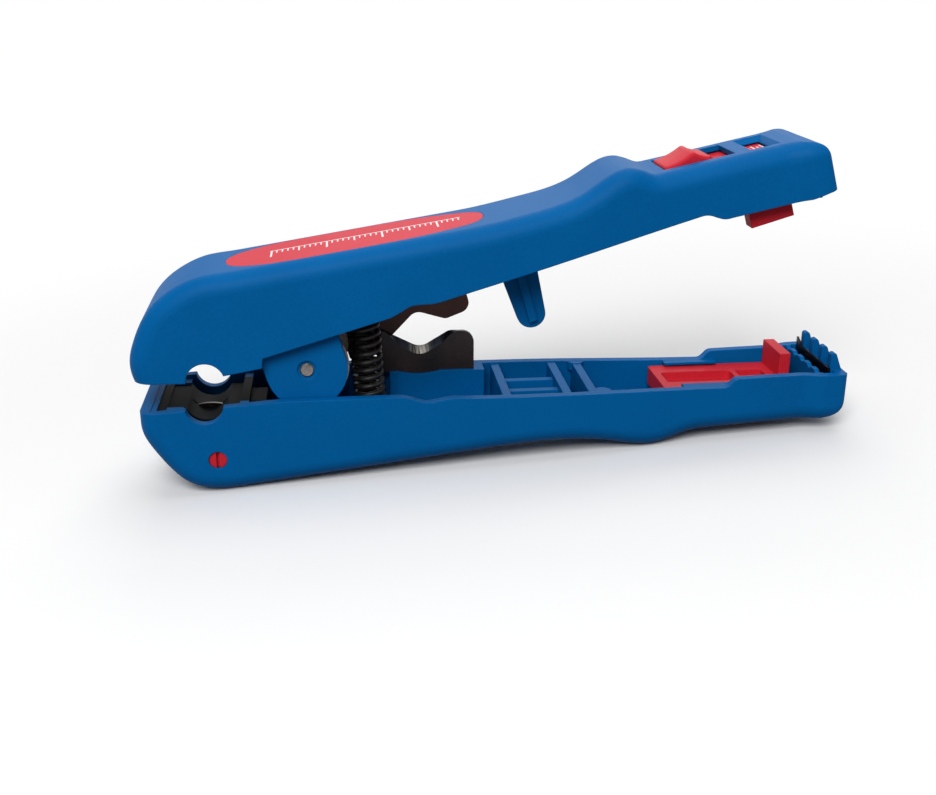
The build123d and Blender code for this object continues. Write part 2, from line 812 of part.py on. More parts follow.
# Red adjuster: a slotted cross shaft under the blade, its end just below the side face
adjuster_end = half - adjuster_sink
with BuildPart() as depth_adjuster:
    rod(lower, adjuster_x, adjuster_depth, adjuster_radius, -adjuster_end, adjuster_end)
    slab(lower, adjuster_x - adjuster_slot / 2, adjuster_x + adjuster_slot / 2, -half,
         -adjuster_end + adjuster_slot_depth, -plan_depth, rim, Mode.SUBTRACT)
depth_adjuster.part.label = "depth_adjuster"

# Black rest that presses the cable down into the cutter
with BuildPart() as cable_rest:
    extrude(upper_shape(inset=skin, bottom=rest_bottom), amount=rest_half, both=True)
    slab(upper, rest_back, rest_front, -half, half, -above, plan_depth, Mode.INTERSECT)
    rod(upper, notch_x, notch_height, rest_trough, -half, half, Mode.SUBTRACT)
cable_rest.part.label = "cable_rest"

# Pair of lugs that stand on the floor of the lower handle and carry the pin
with BuildPart() as lugs:
    for lug_face in (-washer_inner, lug_inner):
        slab(lower, -lug_radius, lug_radius, lug_face, lug_face + lug_thick, -plan_depth, 0)
        rod(lower, 0, 0, lug_radius, lug_face, lug_face + lug_thick)
    extrude(lower_shape(inset=skin / 2, top=lug_radius), amount=half, both=True,
            mode=Mode.INTERSECT)
    rod(lower, 0, 0, pin_radius + pin_fit, -half, half, Mode.SUBTRACT)

# Lower handle
with BuildPart() as lower_handle:
    extrude(lower_shape(), amount=half, both=True)
    with BuildSketch(side(lower)) as stock:
        with BuildLine():
            run_on = -chin_depth + (nose_stock - chin_x) * (tail_depth - chin_depth) / (chin_x - tail_x)
            Polyline((chin_x, nose_rim), (chin_x, -chin_depth), (nose_stock, run_on),
                     (nose_stock, nose_rim), close=True)
        make_face()
    extrude(stock.sketch, amount=half, both=True)
    extrude(plan_shape(lower, lower_back, nose_stock), amount=2 * plan_depth, mode=Mode.INTERSECT)
    fillet(outer_edges(lower, lower_handle.part, lower_back - 1, nose_stock - 1,
                       lambda z: z < rim - 1), edge_radius)
    extrude(lower_shape(), amount=half, both=True, mode=Mode.INTERSECT)
    fillet(outer_edges(lower, lower_handle.part, chin_x, nose_stock, lambda z: z < nose_rim - 1),
           nose_radius)
    add(lower_hollow.part, mode=Mode.SUBTRACT)
    rod(lower, lower_notch_x, -lower_notch_depth, notch_radius, -half, half, Mode.SUBTRACT)
    add(lugs.part)
    with BuildSketch(foot_plane) as foot_disc:
        with Locations((foot.X, 0)):
            Circle(seat_radius)
    extrude(foot_disc.sketch, amount=-foot_thick)
    with BuildSketch(foot_plane) as foot_peg:
        with Locations((foot.X, 0)):
            Circle(peg_radius)
    extrude(foot_peg.sketch, amount=peg_height)
    slab(lower, blade_foot_back, blade_end, blade_near, blade_near + blade_thick, blade_root, 0,
         Mode.SUBTRACT)
    for pin_x in (blade_pin_back, blade_pin_front):
        rod(lower, pin_x, blade_pin_depth, blade_pin_radius, blade_near,
            blade_near + blade_pin_long, Mode.SUBTRACT)
    rod(lower, adjuster_x, adjuster_depth, adjuster_radius + adjuster_fit, -half, half,
        Mode.SUBTRACT)
    slab(lower, stem_back - lock_travel - gap, stem_front + gap, -stem_half - gap,
         stem_half + gap, -plan_depth, lock_bottom, Mode.SUBTRACT)
    for far in (-1, 1):
        lip_edge = far * (lock_half - retain_reach)
        lip_root = far * (waist_width / 2 - wall / 2)
        slab(lower, retain_start, retain_end, min(lip_edge, lip_root), max(lip_edge, lip_root),
             lock_top + gap, lock_top + gap + retain_thick)
    for place in range(4):
        middle = (place - 1.5) * finger_pitch
        with BuildSketch(side(lower, middle + finger_wide / 2)) as finger:
            with BuildLine():
                FilletPolyline(
                    (lower_front - finger_nose, nose_rim - 1),
                    (lower_front - finger_nose, nose_rim),
                    (finger_top, nose_rim + finger_rise),
                    (finger_back, nose_rim + finger_rise),
                    (finger_back, nose_rim - 1),
                    radius=finger_radius,
                    close=True,
                )
            make_face()
        extrude(finger.sketch, amount=finger_wide)
    for place in range(scallops):
        middle = (place - (scallops - 1) / 2) * 2 * inner / scallops
        with BuildSketch(across(lower, comb_x - comb_thick)) as scallop:
            with Locations((middle, nose_rim + 0.7)):
                Circle(scallop_radius)
        extrude(scallop.sketch, amount=2 * comb_thick, mode=Mode.SUBTRACT)
    slab(lower, wire_blade_x - wire_blade_thick / 2, wire_blade_x + wire_blade_thick / 2,
         -blade_half, blade_half, nose_rim - wire_blade_sink, nose_rim, Mode.SUBTRACT)
lower_handle.part.label = "lower_handle"

# Hollow of the upper handle
with BuildPart() as upper_hollow:
    extrude(upper_shape(inset=skin, bottom=-above), amount=half, both=True)
    extrude(plan_shape(upper, upper_back, upper_front, wall), amount=2 * plan_depth,
            mode=Mode.INTERSECT)

# Pair of ears that hang from the upper handle, thickened out to the walls at their roots
with BuildPart() as ears:
    for ear_face, root_face in ((-ear_outer, -inner - gap), (ear_inner, ear_inner)):
        slab(upper, -ear_radius, ear_radius, ear_face, ear_face + ear_thick, 0, plan_depth)
        slab(upper, -ear_radius, ear_radius, root_face, root_face + ear_thick + 2 * gap,
             edge + 0.8, plan_depth)
        rod(upper, 0, 0, ear_radius, ear_face, ear_face + ear_thick)
    extrude(upper_shape(inset=skin / 2, bottom=-ear_radius), amount=half, both=True,
            mode=Mode.INTERSECT)
    rod(upper, 0, 0, pin_radius, -half, half, Mode.SUBTRACT)
    for recess_face in (-ear_outer, ear_outer - pin_recess):
        rod(upper, 0, 0, pin_recess_radius, recess_face, recess_face + pin_recess, Mode.SUBTRACT)

# Upper handle
with BuildPart() as upper_handle:
    extrude(upper_shape(), amount=half, both=True)
    with BuildSketch(side(upper)) as stock:
        with BuildLine():
            run_on = deck_end + (nose_stock - deck_end_x) * (deck_end - deck) / (deck_end_x - deck_x)
            Polyline((deck_end_x, edge), (deck_end_x, deck_end), (nose_stock, run_on),
                     (nose_stock, edge), close=True)
        make_face()
    extrude(stock.sketch, amount=half, both=True)
    extrude(plan_shape(upper, upper_back, nose_stock), amount=2 * plan_depth, mode=Mode.INTERSECT)
    fillet(outer_edges(upper, upper_handle.part, upper_back - 1, nose_stock - 1,
                       lambda z: z > edge + 1.5), edge_radius)
    extrude(upper_shape(), amount=half, both=True, mode=Mode.INTERSECT)
    fillet(outer_edges(upper, upper_handle.part, deck_end_x, nose_stock,
                       lambda z: z > lip_nose + 1), nose_radius)
    add(upper_hollow.part, mode=Mode.SUBTRACT)
    rod(upper, notch_x, notch_height, notch_radius, -half, half, Mode.SUBTRACT)
    add(ears.part)
    with BuildSketch(seat_plane) as seat_disc:
        with Locations((foot.X, 0)):
            Circle(seat_radius)
    extrude(seat_disc.sketch, amount=seat_thick)
    with BuildSketch(seat_plane) as seat_peg:
        with Locations((foot.X, 0)):
            Circle(peg_radius)
    extrude(seat_peg.sketch, amount=-peg_height)
    slab(upper, pad_back, pad_front, upper_blade_near + blade_thick, inner + wall / 2, pad_bottom,
         upper_blade_top)
    for rivet_x in (rivet_back, rivet_front):
        rod(upper, rivet_x, rivet_height, rivet_radius, upper_blade_near,
            upper_blade_near + rivet_grip, Mode.SUBTRACT)
    with BuildSketch(side(upper)) as prong:
        with BuildLine():
            Polyline(
                (prong_x - prong_tip_radius, prong_tip + prong_tip_radius),
                (prong_x - prong_root_half, prong_root),
                (prong_x + prong_root_half, prong_root),
                (prong_x + prong_tip_radius, prong_tip + prong_tip_radius),
            )
            ThreePointArc(
                (prong_x + prong_tip_radius, prong_tip + prong_tip_radius),
                (prong_x, prong_tip),
                (prong_x - prong_tip_radius, prong_tip + prong_tip_radius),
            )
        make_face()
    extrude(prong.sketch, amount=prong_web / 2, both=True)
    slab(upper, prong_x - prong_rib / 2, prong_x + prong_rib / 2, -prong_thick / 2,
         prong_thick / 2, prong_tip + prong_tip_radius / 2, prong_root)
    slab(on_deck, button_start - gap, slot_end, -slot_half, slot_half, -skin, above, Mode.SUBTRACT)
    window = []
    for height, flare in ((-deck_skin, 0), (0, window_flare)):
        with BuildSketch(level(on_deck, height)) as outline:
            with Locations(((window_start + window_end) / 2, 0)):
                Rectangle(window_end - window_start + 2 * flare, 2 * (window_half + flare))
        window.append(outline.sketch)
    loft(window, mode=Mode.SUBTRACT)
    slab(on_deck, channel_start, channel_end, -channel_half, channel_half, -skin - 0.5, -deck_skin,
         Mode.SUBTRACT)
    for far in (-1, 1):
        rail_edge = far * (stop_half - rail_reach)
        rail_root = far * (waist_width / 2 - wall / 2)
        rail_top = -deck_skin - gap - stop_plate - gap
        slab(on_deck, rail_start, rail_end, min(rail_edge, rail_root), max(rail_edge, rail_root),
             rail_top - rail_thick, rail_top)
    add(plate_recess.part, mode=Mode.SUBTRACT)
    blade_back_face = upper_wire_blade_x - wire_blade_thick / 2
    blade_front_face = upper_wire_blade_x + wire_blade_thick / 2
    slab(upper, blade_back_face - upper_holder, blade_front_face, -inner, inner, lip_nose + 0.6,
         lip_nose + upper_wire_blade_sink + 1)
    slab(upper, blade_back_face, blade_front_face, -blade_half, blade_half, lip_nose,
         lip_nose + upper_wire_blade_sink, Mode.SUBTRACT)
    slab(upper, blade_front_face, wire_blade_x + wire_blade_thick / 2 + 2 * gap, -inner, inner,
         -above, lip_nose + wire_blade_rise + wire_blade_tip, Mode.SUBTRACT)
    for place in range(4):
        middle = (place - 1.5) * finger_pitch
        slab(upper, finger_back - 2 * gap, nose_stock, middle - finger_wide / 2 - gap,
             middle + finger_wide / 2 + gap, -above, lip_nose + finger_rise, Mode.SUBTRACT)
upper_handle.part.label = "upper_handle"

pieces = [
    lower_handle,
    upper_handle,
    pivot_pin,
    pivot_washers,
    handle_spring,
    lower_cutter_blade,
    lower_blade_pins,
    upper_cutter_blade,
    upper_blade_rivets,
    sliding_lock,
    length_stop,
    label_plate,
    blade_carrier,
    jacket_blade,
    jacket_blade_screw,
    depth_adjuster,
    cable_rest,
    lower_wire_blade,
    upper_wire_blade,
]
os.makedirs("parts", exist_ok=True)
for piece in pieces:
    export_step(piece.part, f"parts/{piece.part.label}.step")
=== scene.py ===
import json
from math import pi, radians, sin, tan

import bmesh
import bpy
from mathutils import Matrix, Vector


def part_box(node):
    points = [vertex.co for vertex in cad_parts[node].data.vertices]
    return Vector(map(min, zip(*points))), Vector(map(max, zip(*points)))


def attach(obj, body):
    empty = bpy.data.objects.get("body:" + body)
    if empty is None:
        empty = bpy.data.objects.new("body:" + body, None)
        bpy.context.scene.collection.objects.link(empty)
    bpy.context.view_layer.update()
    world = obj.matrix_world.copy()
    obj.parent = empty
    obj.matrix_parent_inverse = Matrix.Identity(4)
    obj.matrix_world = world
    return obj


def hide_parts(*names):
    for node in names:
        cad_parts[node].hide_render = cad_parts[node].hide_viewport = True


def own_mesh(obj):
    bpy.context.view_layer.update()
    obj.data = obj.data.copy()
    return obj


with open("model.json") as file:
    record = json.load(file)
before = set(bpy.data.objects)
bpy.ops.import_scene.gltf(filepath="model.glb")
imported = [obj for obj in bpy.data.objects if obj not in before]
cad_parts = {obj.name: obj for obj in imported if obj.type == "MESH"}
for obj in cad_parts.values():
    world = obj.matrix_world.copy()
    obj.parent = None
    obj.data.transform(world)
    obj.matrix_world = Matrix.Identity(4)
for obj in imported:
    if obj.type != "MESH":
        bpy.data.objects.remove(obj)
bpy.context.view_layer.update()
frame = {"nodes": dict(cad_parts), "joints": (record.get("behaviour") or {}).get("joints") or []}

# Camera
# The photo is taken from the near side, about 0.22 m away and a little above the tool, and
# rolls slightly against the handle that rests on the floor.
photo_camera = bpy.data.cameras.new("photo_camera")
photo_camera.lens = 45.77
photo_camera.clip_start = 0.01
camera_object = bpy.data.objects.new("photo_camera", photo_camera)
camera_object.matrix_world = Matrix((
    (0.99189, 0.09485, -0.08460, -0.02476),
    (-0.11264, 0.34769, -0.93082, -0.21203),
    (-0.05887, 0.93280, 0.35555, 0.09090),
    (0.0, 0.0, 0.0, 1.0),
))
bpy.context.scene.collection.objects.link(camera_object)
bpy.context.scene.camera = camera_object
bpy.context.scene.view_settings.view_transform = "Standard"

# Studio
# A pale seamless floor that runs out to white, and soft boxes high over the near and far
# sides, so that top faces are brightest and undersides fall into shade as in the photo.


class Wire:
    """A value inside a node tree. Sums and products of values add Math nodes."""

    def __init__(self, tree, socket=None):
        self.tree = tree
        self.socket = socket

    def node(self, kind, settings=(), inputs=(), output=0):
        """Adds a node: its settings first, a ramp's stops among them, then its sockets."""
        made = self.tree.nodes.new(kind)
        for name, value in dict(settings).items():
            if name == "stops":
                ramp = made.color_ramp.elements
                while len(ramp) < len(value):
                    ramp.new(0.5)
                for element, (place, colour) in zip(ramp, value):
                    element.position = place
                    element.color = (*colour, 1.0)
            else:
                setattr(made, name, value)
        for name, value in dict(inputs).items():
            if isinstance(value, Wire):
                self.tree.links.new(value.socket, made.inputs[name])
            else:
                made.inputs[name].default_value = value
        return Wire(self.tree, made.outputs[output])

    def maths(self, operation, first, second):
        return self.node("ShaderNodeMath", {"operation": operation}, {0: first, 1: second})

    def __add__(self, other):
        return self.maths("ADD", self, other)

    def __sub__(self, other):
        return self.maths("SUBTRACT", self, other)

    def __mul__(self, other):
        return self.maths("MULTIPLY", self, other)

    def __truediv__(self, other):
        return self.maths("DIVIDE", self, other)

    def __lt__(self, other):
        return self.maths("LESS_THAN", self, other)

    def __gt__(self, other):
        return self.maths("GREATER_THAN", self, other)

    def __rsub__(self, other):
        return self.maths("SUBTRACT", other, self)

    __radd__ = __add__
    __rmul__ = __mul__


def finish(name, roughness, metallic=0.0, specular=0.5):
    """A new material with its shader's fixed values set: the material, shader and start."""
    material = bpy.data.materials.new(name)
    material.use_nodes = True
    shader = material.node_tree.nodes["Principled BSDF"]
    shader.inputs["Roughness"].default_value = roughness
    shader.inputs["Metallic"].default_value = metallic
    shader.inputs["Specular IOR Level"].default_value = specular
    return material, shader, Wire(material.node_tree)


def connect(shader, name, wire):
    wire.tree.links.new(wire.socket, shader.inputs[name])


def seen_rays(start):
    """1 for rays of the camera, of gloss and of glass, which all see the white backdrop."""
    camera_ray, glossy_ray, clear_ray = (
        start.node("ShaderNodeLightPath", output=name)
        for name in ("Is Camera Ray", "Is Glossy Ray", "Is Transmission Ray"))
    return start.maths("MAXIMUM", start.maths("MAXIMUM", camera_ray, glossy_ray), clear_ray)


ambient = 0.18
world = bpy.data.worlds.new("studio")
world.use_nodes = True
bpy.context.scene.world = world
backdrop = world.node_tree.nodes["Background"]
backdrop.inputs["Color"].default_value = (1.0, 1.0, 1.0, 1.0)
connect(backdrop, "Strength", seen_rays(Wire(world.node_tree)) * (1 - ambient) + ambient)

floor_reach = 3.0
floor_drop = 0.0002
floor_mesh = bpy.data.meshes.new("floor")
floor_mesh.from_pydata(
    [(-floor_reach, -floor_reach, -floor_drop), (floor_reach, -floor_reach, -floor_drop),
     (floor_reach, floor_reach, -floor_drop), (-floor_reach, floor_reach, -floor_drop)],
    [], [(0, 1, 2, 3)])
floor = bpy.data.objects.new("floor", floor_mesh)
bpy.context.scene.collection.objects.link(floor)
white_from, white_by = 0.05, 0.22
pale, shader, start = finish("pale_floor", 0.9, specular=0.1)
shader.inputs["Base Color"].default_value = (0.97, 0.97, 0.97, 1.0)
place = start.node("ShaderNodeTexCoord", output="Object")
outwards = start.node("ShaderNodeVectorMath", {"operation": "LENGTH"}, {0: place}, "Value")
run_out = start.node(
    "ShaderNodeMapRange", {"interpolation_type": "SMOOTHSTEP"},
    {"Value": outwards, "From Min": white_from, "From Max": white_by})
white = start.node("ShaderNodeEmission", {}, {"Color": (1.0, 1.0, 1.0, 1.0), "Strength": 1.0})
seen = start.node(
    "ShaderNodeMixShader", {}, {0: run_out, 1: Wire(start.tree, shader.outputs[0]), 2: white})
bounce = start.node("ShaderNodeBsdfDiffuse", {}, {"Color": (0.22, 0.22, 0.22, 1.0)})
surface = start.node("ShaderNodeMixShader", {}, {0: seen_rays(start), 1: bounce, 2: seen})
connect(pale.node_tree.nodes["Material Output"], "Surface", surface)
floor_mesh.materials.append(pale)

for name, place, size, power in (
    ("high_near_side", (-0.14, -0.50, 0.50), 0.36, 3.8),
    ("overhead", (0.05, 0.10, 0.66), 0.50, 1.35),
    ("far_side", (0.10, 0.55, 0.38), 0.50, 1.0),
):
    lamp = bpy.data.lights.new(name, "AREA")
    lamp.size = size
    lamp.energy = power
    lamp_object = bpy.data.objects.new(name, lamp)
    lamp_object.location = place
    aim = Vector((0, 0, 0.02)) - Vector(place)
    lamp_object.rotation_euler = aim.to_track_quat("-Z", "Y").to_euler()
    bpy.context.scene.collection.objects.link(lamp_object)

# Handles
# Two hollow mouldings in clear blue plastic from a finely eroded mould, with a matt grain
# all over and soft edges, and a painted highlight that makes every edge a little paler.


def dress(node, material):
    """Gives a CAD node its material."""
    piece = frame["nodes"][node]
    piece.data.materials.clear()
    piece.data.materials.append(material)


def moulded(name, dark, light, edge_highlight_colour, roughness, specular, edge_round=0.0003):
    """Moulded plastic with grain, soft edges and a painted highlight along the edges: its
    material, shader, colour and place.
    """
    material, shader, start = finish(name, roughness, specular=specular)
    place = start.node("ShaderNodeTexCoord", output="Object")
    grain = start.node(
        "ShaderNodeTexNoise", {}, {"Vector": place, "Scale": 2600.0, "Detail": 3.0})
    cloud = start.node("ShaderNodeTexNoise", {}, {"Vector": place, "Scale": 70.0, "Detail": 2.0})
    rounded = start.node("ShaderNodeBevel", {"samples": 6}, {"Radius": edge_round})
    straight = start.node("ShaderNodeNewGeometry", output="Normal")
    turned = start.node(
        "ShaderNodeVectorMath", {"operation": "DOT_PRODUCT"}, {0: rounded, 1: straight}, "Value")
    # Painted highlight: along every edge, where the rounded normal turns from the flat one, the
    # colour is mixed towards the paler edge colour.
    edge_highlight_mask = start.node(
        "ShaderNodeMapRange", {},
        {"Value": 1 - turned, "From Min": 0.04, "From Max": 0.35, "To Max": 0.30})
    body = start.node(
        "ShaderNodeValToRGB", {"stops": ((0.32, dark), (0.68, light))},
        {"Fac": grain * 0.55 + cloud * 0.45})
    colour = start.node(
        "ShaderNodeMix", {"data_type": "RGBA"}, {0: edge_highlight_mask, 6: body, 7: (*edge_highlight_colour, 1.0)}, 2)
    connect(shader, "Base Color", colour)
    connect(shader, "Roughness", grain * 0.12 + (roughness - 0.06))
    connect(shader, "Normal", start.node(
        "ShaderNodeBump", {},
        {"Height": grain, "Strength": 0.25, "Distance": 0.00006, "Normal": rounded}))
    return material, shader, colour, place


# The third colour is the paler blue of the painted highlight along the edges.
blue = moulded(
    "handle_blue", (0.0, 0.106, 0.330), (0.0, 0.126, 0.385), (0.005, 0.165, 0.47), 0.50, 0.05)[0]
for node in ("lower_handle", "upper_handle"):
    dress(node, blue)

# Rib pads
# Round pads of the same blue moulding at both ends of the tray's last rib, level with the
# rim. The CAD solid of the handle lacks them, so they are added here.
hinge = next(joint for joint in frame["joints"] if joint["name"] == "handle_pivot")
rest_lean, opening = 3.545, 16.6
lower_lean = radians(rest_lean)
upper_lean = radians(rest_lean - opening)


def handle_frame(lean):
    """From a handle's own frame, with its origin on the pivot, to the scene."""
    return Matrix.Translation(hinge["pos_m"]) @ Matrix.Rotation(lean, 4, "Y")


pads = bmesh.new()
pad_radius, pad_thick, pad_top = 0.0016, 0.0016, -0.00608
for centre_x, centre_y in ((0.0525, 0.0090), (0.0543, -0.0083)):
    middle = Matrix.Translation((centre_x, centre_y, pad_top - pad_thick / 2))
    bmesh.ops.create_cone(
        pads, cap_ends=True, segments=32, radius1=pad_radius, radius2=pad_radius,
        depth=pad_thick, matrix=handle_frame(lower_lean) @ middle)
pad_mesh = bpy.data.meshes.new("rib_pads")
pads.to_mesh(pad_mesh)
pads.free()
pad_mesh.materials.append(blue)
rib_pads = bpy.data.objects.new("rib_pads", pad_mesh)
bpy.context.scene.collection.objects.link(rib_pads)
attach(rib_pads, "lower")

# Red trim
# The slotted adjuster and the sliding lock, a tray with a square tab across it, are moulded
# in one satin red. The lock's CAD mesh is copied, its tab squared and its edges rounded.
# The third red is the paler red of the painted highlight along the edges of every red part.
red_dark, red_light, red_edge_highlight = (0.58, 0.018, 0.032), (0.66, 0.026, 0.044), (0.78, 0.06, 0.08)
red = moulded("trim_red", red_dark, red_light, red_edge_highlight, 0.48, 0.06)[0]
dress("depth_adjuster", red)
weld_reach = 1e-6
flat_turn, sharp_turn = radians(0.5), radians(30)


def merged_copy(node):
    """The CAD node's mesh as one closed skin, its flat faces whole."""
    skin = bmesh.new()
    skin.from_mesh(frame["nodes"][node].data)
    bmesh.ops.remove_doubles(skin, verts=skin.verts, dist=weld_reach)
    bmesh.ops.dissolve_limit(
        skin, angle_limit=flat_turn, verts=skin.verts, edges=skin.edges)
    return skin


def place_piece(skin, name, body, node, materials):
    """Makes the mesh a piece that rides on the body in the node's stead."""
    mesh = bpy.data.meshes.new(name)
    skin.to_mesh(mesh)
    skin.free()
    for material in materials:
        mesh.materials.append(material)
    piece = bpy.data.objects.new(name, mesh)
    bpy.context.scene.collection.objects.link(piece)
    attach(piece, body)
    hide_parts(node)
    return piece


def soften(skin, radius):
    """Rounds the sharp edges of a merged copy, where they are long enough to be rounded."""
    sharp = [edge for edge in skin.edges
             if edge.calc_face_angle(0.0) > sharp_turn and edge.calc_length() > 2.2 * radius]
    bmesh.ops.bevel(skin, geom=sharp, offset=radius, segments=3, profile=0.5,
                    affect="EDGES", clamp_overlap=True)
    bmesh.ops.triangulate(skin, faces=[face for face in skin.faces if len(face.verts) > 4])


lock_skin = merged_copy("sliding_lock")
tab_top, tab_near, tab_far, tab_round = -0.0022, -0.0024, 0.0070, 0.0012
to_scene = handle_frame(lower_lean)
for vertex in lock_skin.verts:
    own = to_scene.inverted() @ vertex.co
    near_corner = own.y < tab_near + tab_round
    if own.z > tab_top - tab_round and (near_corner or own.y > tab_far - tab_round):
        own.y = tab_near if near_corner else tab_far
        own.z = tab_top
        vertex.co = to_scene @ own
bmesh.ops.remove_doubles(lock_skin, verts=lock_skin.verts, dist=weld_reach)
bmesh.ops.dissolve_degenerate(lock_skin, dist=weld_reach, edges=lock_skin.edges)
soften(lock_skin, radius=0.00022)
place_piece(lock_skin, "moulded_lock", "lock", "sliding_lock", [red])

# Length stop
# A slide in the same red, with a fine white scale printed across the plate that shows in the
# window. Its CAD mesh is copied, the thumb button's rims well rounded, the other edges less.


def own_axes(place, lean):
    """Distances along, across and above the pivot, in a handle's own frame, in metres."""
    own = place.node(
        "ShaderNodeMapping", {"vector_type": "TEXTURE"},
        {"Vector": place, "Location": hinge["pos_m"], "Rotation": (0.0, lean, 0.0)})
    return [own.node("ShaderNodeSeparateXYZ", (), {0: own}, axis) for axis in "XYZ"]


def within(value, low, high):
    """1 where the value lies between low and high."""
    return (value > low) * (value < high)


def ticks(along, pitch, wide):
    """1 on narrow lines that repeat at the given pitch."""
    phase = along.node("ShaderNodeMath", {"operation": "FRACT"}, {0: along / pitch})
    return phase < wide / pitch


print_white = (0.86, 0.84, 0.84, 1.0)
scaled, shader, colour, place = moulded(
    "stop_red", red_dark, red_light, red_edge_highlight, 0.48, 0.06)
along, over, height = own_axes(place, upper_lean)
short_marks = ticks(along, 0.0008, 0.00030) * within(over, 0.0008, 0.0020)
long_marks = ticks(along, 0.0016, 0.00030) * within(over, 0.0001, 0.0030)
printed = place.maths("MAXIMUM", short_marks, long_marks)
printed = printed * within(along, 0.0858, 0.0919) * within(height, 0.0105, 0.0135)
connect(shader, "Base Color", place.node(
    "ShaderNodeMix", {"data_type": "RGBA"}, {0: printed, 6: colour, 7: print_white}, 2))
stop_skin = merged_copy("length_stop")
to_scene = handle_frame(upper_lean)
deck_start, deck_fall, deck_gap = Vector((0.0702, 0.0, 0.01425)), 0.0768, 0.00015
rim_turn = radians(20)


def stands_out(vertex):
    """True for what stands above the deck: the button."""
    own = to_scene.inverted() @ vertex.co - deck_start
    return own.z > deck_gap - deck_fall * own.x


button_rims = [edge for edge in stop_skin.edges
               if any(stands_out(vertex) for vertex in edge.verts)
               and edge.calc_face_angle(0.0) > rim_turn]
bmesh.ops.bevel(stop_skin, geom=button_rims, offset=0.00055, segments=4, profile=0.5,
                affect="EDGES")
soften(stop_skin, radius=0.00030)
place_piece(stop_skin, "moulded_stop", "stop", "length_stop", [scaled])

# Label plate
# A thin oval plate in a paler red, let into the crown, and printed with a plain white scale
# in millimetres.
plate, shader, colour, place = moulded(
    "plate_red", (0.60, 0.030, 0.050), (0.68, 0.040, 0.064), red_edge_highlight, 0.50, 0.06)
along, over = own_axes(place, upper_lean)[:2]
base_line, line_wide = 0.0016, 0.0003
printed = within(over, base_line, base_line + line_wide)
for pitch, wide, tip in ((0.0010, 0.00026, -0.0001), (0.0050, 0.00030, -0.0013),
                         (0.0100, 0.00036, -0.0027)):
    marks = ticks(along, pitch, wide) * within(over, tip, base_line)
    printed = place.maths("MAXIMUM", printed, marks)
printed = printed * within(along, -0.0001, 0.0345)
connect(shader, "Base Color", place.node(
    "ShaderNodeMix", {"data_type": "RGBA"}, {0: printed, 6: colour, 7: print_white}, 2))
dress("label_plate", plate)

# Black inserts
# Blade carrier and cable rest, moulded in black plastic with a faint grain and set into the
# two halves of the cable jaw.
# The third colour is the paler grey of the painted highlight along the edges.
black = moulded("insert_black", (0.003, 0.004, 0.005), (0.007, 0.008, 0.010),
                (0.02, 0.025, 0.035), 0.60, 0.04)[0]
for node in ("blade_carrier", "cable_rest"):
    dress(node, black)

# Cutter blades
# Two stamped steel plates, burnished dark brown, each ground to an edge along its throat
# on the side that faces away from the other blade.


def burnished(name, dark, light, roughness):
    """Heat-browned steel with drifting tints."""
    material, shader, start = finish(name, roughness, metallic=0.75)
    place = start.node("ShaderNodeTexCoord", output="Object")
    drift = start.node("ShaderNodeTexNoise", {}, {"Vector": place, "Scale": 130.0, "Detail": 3.0})
    rolled = start.node(
        "ShaderNodeTexNoise", {}, {"Vector": place, "Scale": 1700.0, "Detail": 2.0})
    connect(shader, "Base Color", start.node(
        "ShaderNodeValToRGB", {"stops": ((0.30, dark), (0.70, light))},
        {"Fac": drift * 0.75 + rolled * 0.25}))
    connect(shader, "Roughness", rolled * 0.20 + (roughness - 0.10))
    connect(shader, "Normal", start.node(
        "ShaderNodeBump", {}, {"Height": rolled, "Strength": 0.15, "Distance": 0.00004}))
    return material


throat_middle, honed_to, blued_from = 0.0214, 0.0006, 0.0026
ground, shader, start = finish("ground_edge", 0.30, metallic=0.9)
place = start.node("ShaderNodeTexCoord", output="Object")
stone = start.node("ShaderNodeMapping", {}, {"Vector": place, "Scale": (4200.0, 60.0, 240.0)})
score = start.node("ShaderNodeTexNoise", {}, {"Vector": stone, "Scale": 1.0, "Detail": 2.0})
along = own_axes(place, lower_lean)[0]
aside = start.node("ShaderNodeMath", {"operation": "ABSOLUTE"}, {0: along - throat_middle})
honed = start.node(
    "ShaderNodeMapRange", {"interpolation_type": "SMOOTHSTEP"},
    {"Value": aside, "From Min": honed_to, "From Max": blued_from,
     "To Min": 1.0, "To Max": 0.0})
scored = start.node(
    "ShaderNodeValToRGB",
    {"stops": ((0.38, (0.04, 0.04, 0.04)), (0.70, (0.34, 0.32, 0.28)))}, {"Fac": score})
blued = start.node(
    "ShaderNodeValToRGB",
    {"stops": ((0.30, (0.010, 0.012, 0.018)), (0.75, (0.030, 0.034, 0.046)))}, {"Fac": score})
connect(shader, "Base Color", start.node(
    "ShaderNodeMix", {"data_type": "RGBA"}, {0: honed, 6: blued, 7: scored}, 2))
connect(shader, "Roughness", score * 0.25 + 0.24)
connect(shader, "Normal", start.node(
    "ShaderNodeBump", {}, {"Height": score, "Strength": 0.25, "Distance": 0.00006}))


def rounded_outline(corners, steps=6, spacing=0.0005):
    """Closed outline through (x, z, radius) corners, its long runs divided into short ones."""
    turned_corners = []
    for before, corner, after in zip(corners[-1:] + corners, corners, corners[1:] + corners[:1]):
        here = Vector(corner[:2])
        back = (Vector(before[:2]) - here).normalized()
        onward = (Vector(after[:2]) - here).normalized()
        half_angle = back.angle(onward) / 2
        run_in = here + back * corner[2] / tan(half_angle)
        run_out = here + onward * corner[2] / tan(half_angle)
        centre = here + (back + onward).normalized() * corner[2] / sin(half_angle)
        for step in range(steps + 1 if corner[2] else 1):
            spoke = (run_in - centre).lerp(run_out - centre, step / steps)
            turned_corners.append(centre + spoke.normalized() * corner[2])
    outline = []
    for here, there in zip(turned_corners, turned_corners[1:] + turned_corners[:1]):
        pieces = max(1, round((there - here).length / spacing))
        outline += [here.lerp(there, piece / pieces) for piece in range(pieces)]
    return outline


